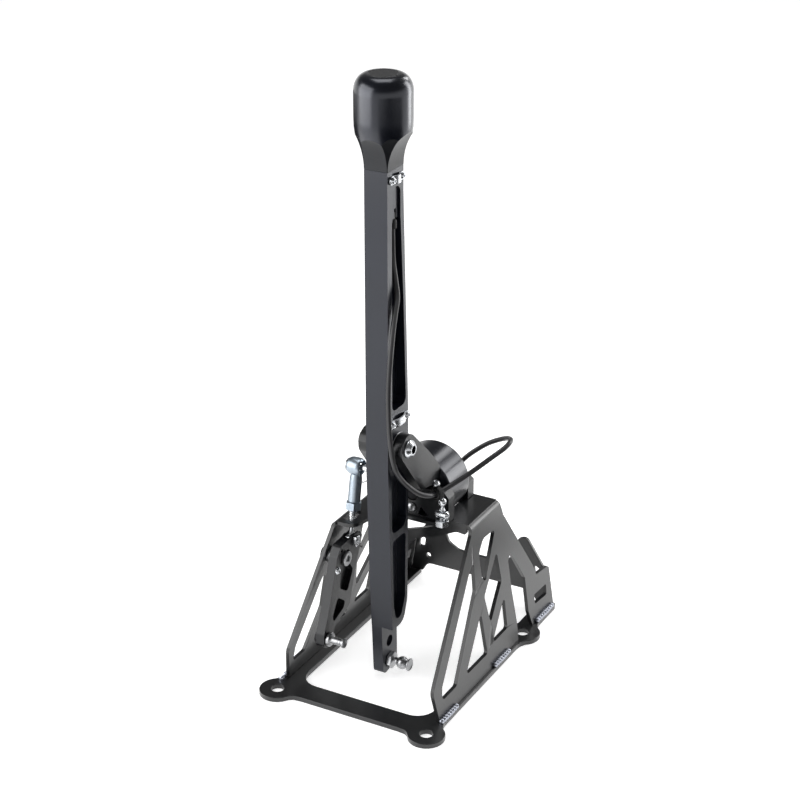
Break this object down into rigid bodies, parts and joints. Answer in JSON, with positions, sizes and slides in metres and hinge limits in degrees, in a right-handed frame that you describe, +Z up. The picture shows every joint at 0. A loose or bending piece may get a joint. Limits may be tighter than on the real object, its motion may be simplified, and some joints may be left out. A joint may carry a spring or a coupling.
{
  "type": "short shifter",
  "caption": "Floor-mounted short shifter: trussed sheet bridge on a bolt-down base, tall milled lever in a rolling yoke, with a bell crank and link for the gate motion",
  "frame": {"origin": "centre of the four base holes, on the underside of the base plate", "axes": "+X to the lever's right (cable side), +Y to the rear of the base where the shift cables leave, +Z up along the lever"},
  "size_m": [0.1594, 0.2367, 0.4891],
  "materials": {
    "base_plate": "satin black powder coat on folded steel sheet",
    "bridge_bracket": "satin black powder coat on folded steel sheet",
    "cable_anchor": "satin black powder coat on folded steel sheet",
    "front_bearing_plate": "black anodised, milled, satin",
    "rear_bearing_plate": "black anodised, milled, satin",
    "roll_shaft": "turned, bright",
    "bearing_face_screw": "zinc plated",
    "bearing_screw_1": "zinc plated",
    "bearing_screw_2": "zinc plated",
    "bearing_screw_3": "zinc plated",
    "bearing_screw_4": "zinc plated",
    "crank_pivot_bolt": "zinc plated",
    "crank_spacer": "turned, bright",
    "crank_pivot_nut": "zinc plated",
    "clip_pin": "turned, bright",
    "clip_stud": "zinc plated",
    "clip_nut": "zinc plated",
    "clip_fitting": "zinc plated",
    "clip_ball": "zinc plated",
    "clip_rubber": "black, dull",
    "clip_band": "turned, bright",
    "clip_screw": "zinc plated",
    "cable_loop": "black, slightly glossy sheath",
    "cable_end_fitting": "zinc plated",
    "yoke_fork": "black anodised, milled, satin",
    "yoke_drum": "black anodised, milled, satin",
    "drum_bush_front": "plain sintered bush",
    "drum_bush_rear": "plain sintered bush",
    "drum_screw_left": "zinc plated",
    "drum_screw_right": "zinc plated",
    "pivot_bolt": "zinc plated",
    "pivot_nut": "zinc plated",
    "link_ball_pin": "zinc plated",
    "cable_middle": "black, slightly glossy sheath",
    "lever_bar": "black anodised, milled, satin",
    "pivot_bush_left": "turned, bright",
    "pivot_bush_right": "turned, bright",
    "upper_strap": "zinc plated",
    "lower_strap": "zinc plated",
    "upper_strap_screw_1": "zinc plated",
    "upper_strap_screw_2": "zinc plated",
    "lower_strap_screw_1": "zinc plated",
    "lower_strap_screw_2": "zinc plated",
    "lever_ball_stud": "zinc plated",
    "lever_stud_nut": "zinc plated",
    "knob": "black anodised, milled, satin",
    "knob_cap_plate": "turned, bright",
    "knob_stud": "turned, bright",
    "cable_upper": "black, slightly glossy sheath",
    "bell_crank": "black anodised, milled, satin",
    "crank_ball_stud": "zinc plated",
    "crank_stud_nut": "zinc plated",
    "link_pin": "zinc plated",
    "link_pin_nut": "zinc plated",
    "link_lower_eye": "zinc plated",
    "link_rod": "turned, bright",
    "link_lock_nut": "zinc plated",
    "link_socket": "zinc plated",
    "link_clip_ring": "turned, bright"
  },
  "bodies": {
    "frame": {"base_plate": "base_plate", "bridge_bracket": "bridge_bracket", "cable_anchor": "cable_anchor", "front_bearing_plate": "front_bearing_plate", "rear_bearing_plate": "rear_bearing_plate", "roll_shaft": "roll_shaft", "bearing_face_screw": "bearing_face_screw", "bearing_screw_1": "bearing_screw_1", "bearing_screw_2": "bearing_screw_2", "bearing_screw_3": "bearing_screw_3", "bearing_screw_4": "bearing_screw_4", "crank_pivot_bolt": "crank_pivot_bolt", "crank_spacer": "crank_spacer", "crank_pivot_nut": "crank_pivot_nut", "clip_pin": "clip_pin", "clip_stud": "clip_stud", "clip_nut": "clip_nut", "clip_fitting": "clip_fitting", "clip_ball": "clip_ball", "clip_rubber": "clip_rubber", "clip_band": "clip_band", "clip_screw": "clip_screw", "cable_loop": "cable_loop", "cable_end_fitting": "cable_end_fitting"},
    "yoke": {"yoke_fork": "yoke_fork", "yoke_drum": "yoke_drum", "drum_bush_front": "drum_bush_front", "drum_bush_rear": "drum_bush_rear", "drum_screw_left": "drum_screw_left", "drum_screw_right": "drum_screw_right", "pivot_bolt": "pivot_bolt", "pivot_nut": "pivot_nut", "link_ball_pin": "link_ball_pin", "cable_middle": "cable_middle"},
    "lever": {"lever_bar": "lever_bar", "pivot_bush_left": "pivot_bush_left", "pivot_bush_right": "pivot_bush_right", "upper_strap": "upper_strap", "lower_strap": "lower_strap", "upper_strap_screw_1": "upper_strap_screw_1", "upper_strap_screw_2": "upper_strap_screw_2", "lower_strap_screw_1": "lower_strap_screw_1", "lower_strap_screw_2": "lower_strap_screw_2", "lever_ball_stud": "lever_ball_stud", "lever_stud_nut": "lever_stud_nut", "knob": "knob", "knob_cap_plate": "knob_cap_plate", "knob_stud": "knob_stud", "cable_upper": "cable_upper"},
    "crank": {"bell_crank": "bell_crank", "crank_ball_stud": "crank_ball_stud", "crank_stud_nut": "crank_stud_nut", "link_pin": "link_pin", "link_pin_nut": "link_pin_nut"},
    "link": {"link_lower_eye": "link_lower_eye", "link_rod": "link_rod", "link_lock_nut": "link_lock_nut", "link_socket": "link_socket", "link_clip_ring": "link_clip_ring"}
  },
  "joints": [
    {"name": "roll", "type": "hinge", "parent": "frame", "child": "yoke", "pos_m": [0, 0.014, 0.145], "axis": [0, 1, 0], "range_deg": [-4.5, 4.5]},
    {"name": "pitch", "type": "hinge", "parent": "yoke", "child": "lever", "pos_m": [0, -0.025, 0.205], "axis": [1, 0, 0], "range_deg": [-10, 10]},
    {"name": "crank_swing", "type": "hinge", "parent": "frame", "child": "crank", "pos_m": [-0.04, -0.026, 0.0985], "axis": [1, 0, 0], "range_deg": [-15, 15]},
    {"name": "link_swing", "type": "hinge", "parent": "crank", "child": "link", "pos_m": [-0.04, -0.012, 0.1075], "axis": [1, 0, 0], "range_deg": [-17.5, 17.5]}
  ],
  "couplings": [
    {"joint": "crank_swing", "follows": "roll", "ratio": 3.266},
    {"joint": "link_swing", "follows": "roll", "ratio": -3.768}
  ]
}
